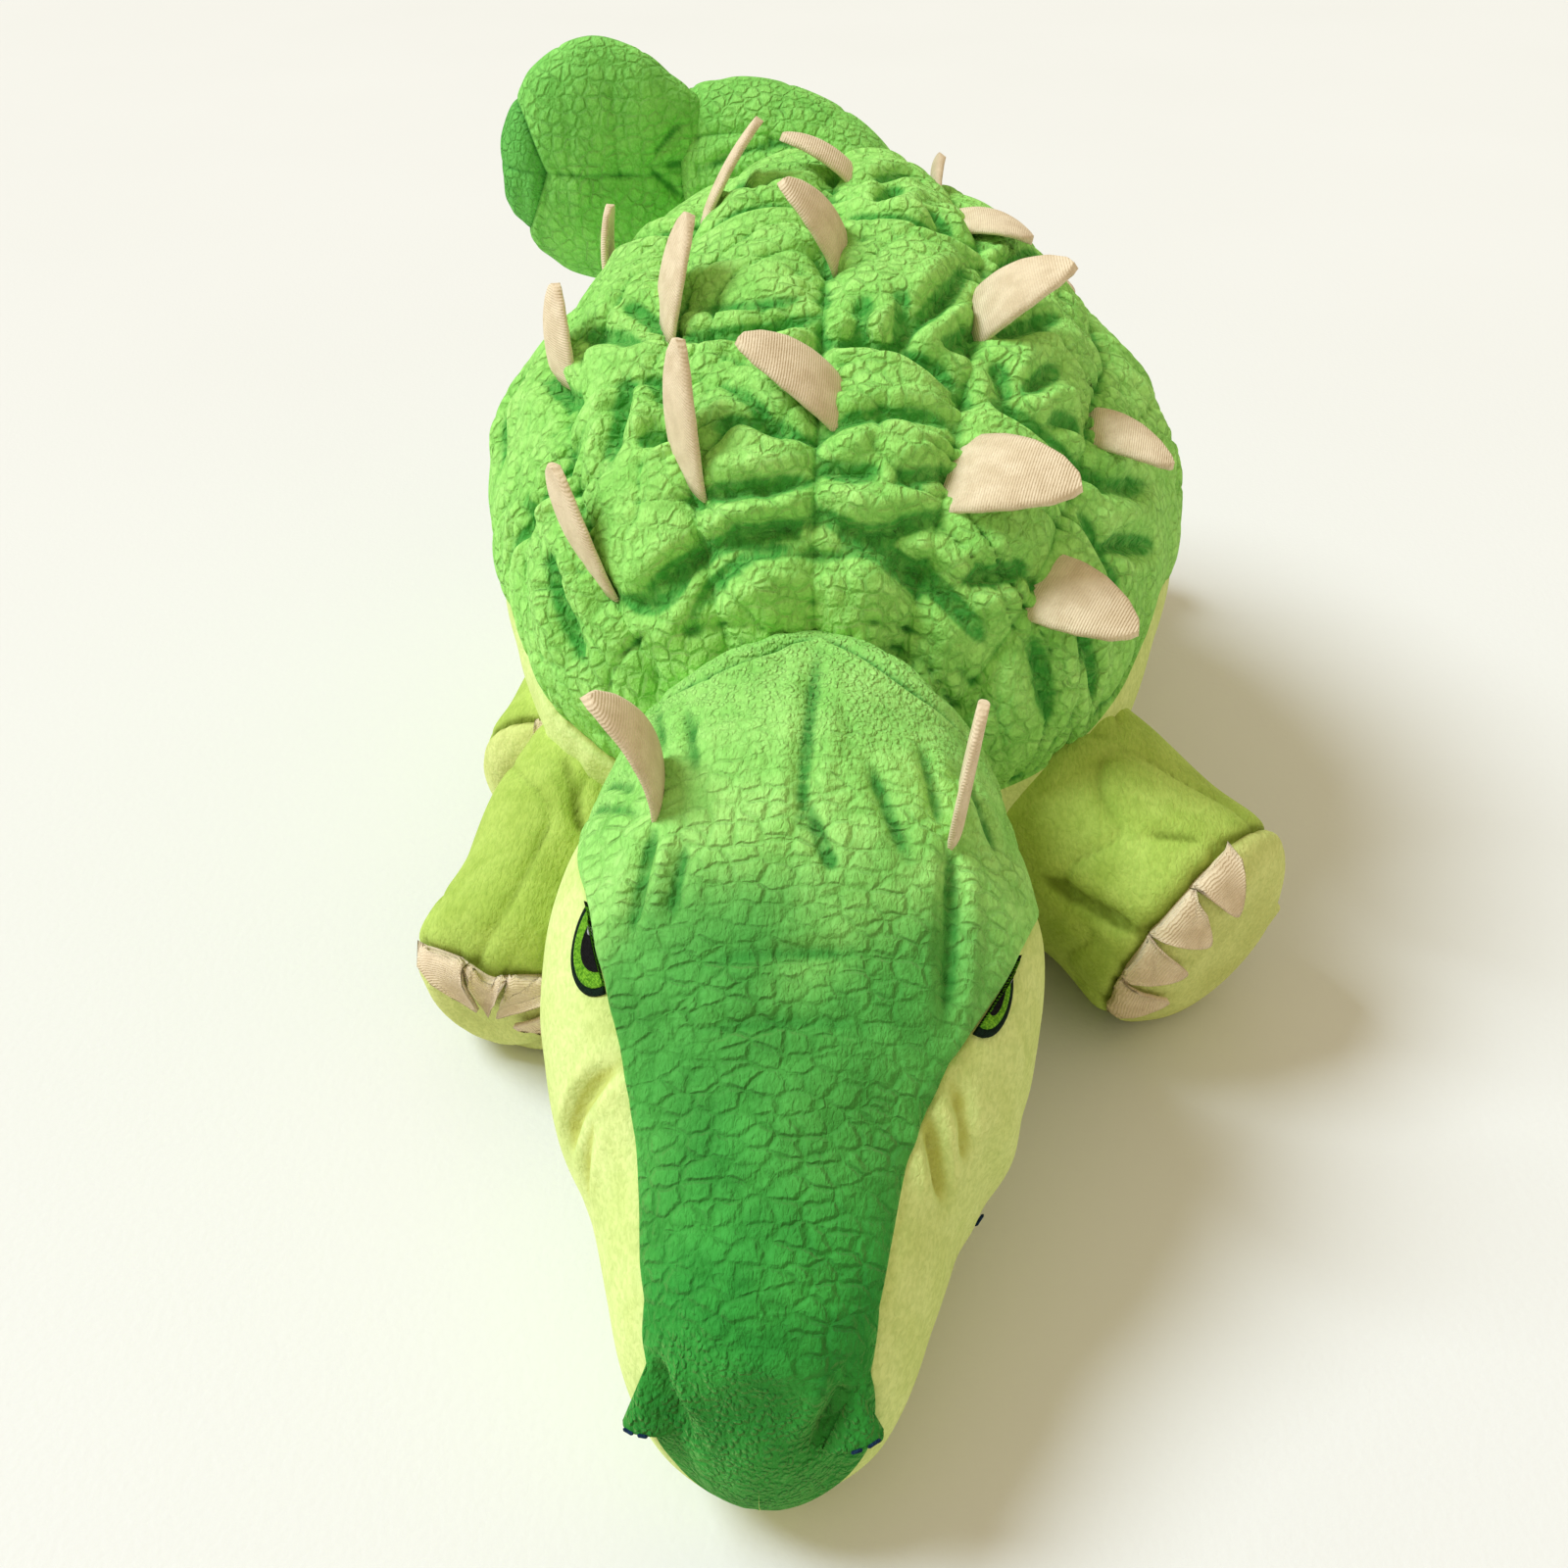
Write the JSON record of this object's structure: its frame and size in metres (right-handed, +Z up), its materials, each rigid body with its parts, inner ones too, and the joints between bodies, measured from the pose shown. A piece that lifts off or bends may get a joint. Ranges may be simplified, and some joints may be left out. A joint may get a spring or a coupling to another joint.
{
  "type": "plush ankylosaurus",
  "caption": "Stuffed plush ankylosaurus lying on its belly, with an embossed green back, cream belly, felt spikes and horns, and a clubbed tail.",
  "frame": {"origin": "middle of the floor under the bounding box, where the belly, jaw and feet rest", "axes": "+Z up, -Y the way the nose points, +Y towards the tail, +X the animal's left as seen by it, which is the right in the picture"},
  "size_m": [0.3066, 0.5504, 0.2368],
  "materials": {
    "armour_plush": "matte",
    "crown_plush": "matte",
    "cream_plush": "matte",
    "lime_plush": "matte",
    "sole_plush": "matte",
    "felt": "matte",
    "tip_plush": "matte",
    "eye_thread": "matte",
    "filling": "matte"
  },
  "bodies": {
    "torso": {"back_panel_left_inner": "armour_plush", "back_panel_left_middle": "armour_plush", "back_panel_left_outer": "armour_plush", "back_panel_right_inner": "armour_plush", "back_panel_right_middle": "armour_plush", "back_panel_right_outer": "armour_plush", "belly_panel": "cream_plush", "torso_stuffing": "filling", "spike_centre_1": "felt", "spike_centre_2": "felt", "spike_centre_3": "felt", "spike_left_inner_1": "felt", "spike_left_inner_2": "felt", "spike_left_inner_3": "felt", "spike_left_outer_1": "felt", "spike_left_outer_2": "felt", "spike_left_outer_3": "felt", "spike_right_inner_1": "felt", "spike_right_inner_2": "felt", "spike_right_inner_3": "felt", "spike_right_inner_4": "felt", "spike_right_outer_1": "felt", "spike_right_outer_2": "felt", "spike_right_outer_3": "felt"},
    "neck": {"neck_stuffing": "filling"},
    "head": {"crown_panel": "crown_plush", "cheek_panel_left": "cream_plush", "cheek_panel_right": "cream_plush", "jaw_panel": "cream_plush", "head_stuffing": "filling", "eye_left": "eye_thread", "eye_right": "eye_thread", "nostril_left": "crown_plush", "nostril_right": "crown_plush", "horn_left": "felt", "horn_right": "felt"},
    "front_left_leg": {"leg_sleeve_front_left": "lime_plush", "leg_sole_front_left": "sole_plush", "leg_stuffing_front_left": "filling", "claws_front_left": "felt"},
    "front_right_leg": {"leg_sleeve_front_right": "lime_plush", "leg_sole_front_right": "sole_plush", "leg_stuffing_front_right": "filling", "claws_front_right": "felt"},
    "hind_left_leg": {"leg_sleeve_hind_left": "lime_plush", "leg_sole_hind_left": "sole_plush", "leg_stuffing_hind_left": "filling", "claws_hind_left": "felt"},
    "hind_right_leg": {"leg_sleeve_hind_right": "lime_plush", "leg_sole_hind_right": "sole_plush", "leg_stuffing_hind_right": "filling", "claws_hind_right": "felt"},
    "tail": {"tail_panel_upper": "armour_plush", "tail_panel_lower": "armour_plush", "tail_stuffing": "filling"},
    "club": {"club_panel_upper": "armour_plush", "club_panel_lower": "armour_plush", "club_tip": "tip_plush", "club_stuffing": "filling"}
  },
  "joints": [
    {"name": "head_turn", "type": "hinge", "parent": "torso", "child": "neck", "pos_m": [0.02292, -0.05467, 0.11604], "axis": [0, 0, 1], "range_deg": [0, 12], "stiffness_Nm_per_rad": 0.4},
    {"name": "head_nod", "type": "hinge", "parent": "neck", "child": "head", "pos_m": [0.02292, -0.05467, 0.11604], "axis": [-1, 0, 0], "range_deg": [0, 15], "stiffness_Nm_per_rad": 0.4},
    {"name": "front_left_leg_swing", "type": "hinge", "parent": "torso", "child": "front_left_leg", "pos_m": [-0.07964, -0.03421, 0.04306], "axis": [0, 0, 1], "range_deg": [-15, 0], "stiffness_Nm_per_rad": 0.2},
    {"name": "front_right_leg_swing", "type": "hinge", "parent": "torso", "child": "front_right_leg", "pos_m": [0.08496, -0.03061, 0.04742], "axis": [0, 0, 1], "range_deg": [-15, 15], "stiffness_Nm_per_rad": 0.2},
    {"name": "hind_left_leg_swing", "type": "hinge", "parent": "torso", "child": "hind_left_leg", "pos_m": [-0.08507, 0.0511, 0.03643], "axis": [0, 0, 1], "range_deg": [-15, 0], "stiffness_Nm_per_rad": 0.2},
    {"name": "hind_right_leg_swing", "type": "hinge", "parent": "torso", "child": "hind_right_leg", "pos_m": [0.08342, 0.17555, 0.04072], "axis": [0, 0, 1], "range_deg": [-12, 12], "stiffness_Nm_per_rad": 0.2},
    {"name": "tail_swing", "type": "hinge", "parent": "torso", "child": "tail", "pos_m": [0.00603, 0.21765, 0.15478], "axis": [0, 0, 1], "range_deg": [-12, 12], "stiffness_Nm_per_rad": 0.5},
    {"name": "club_bend", "type": "hinge", "parent": "tail", "child": "club", "pos_m": [-0.06513, 0.24629, 0.19308], "axis": [0, 0, 1], "range_deg": [-12, 12], "stiffness_Nm_per_rad": 0.3}
  ]
}
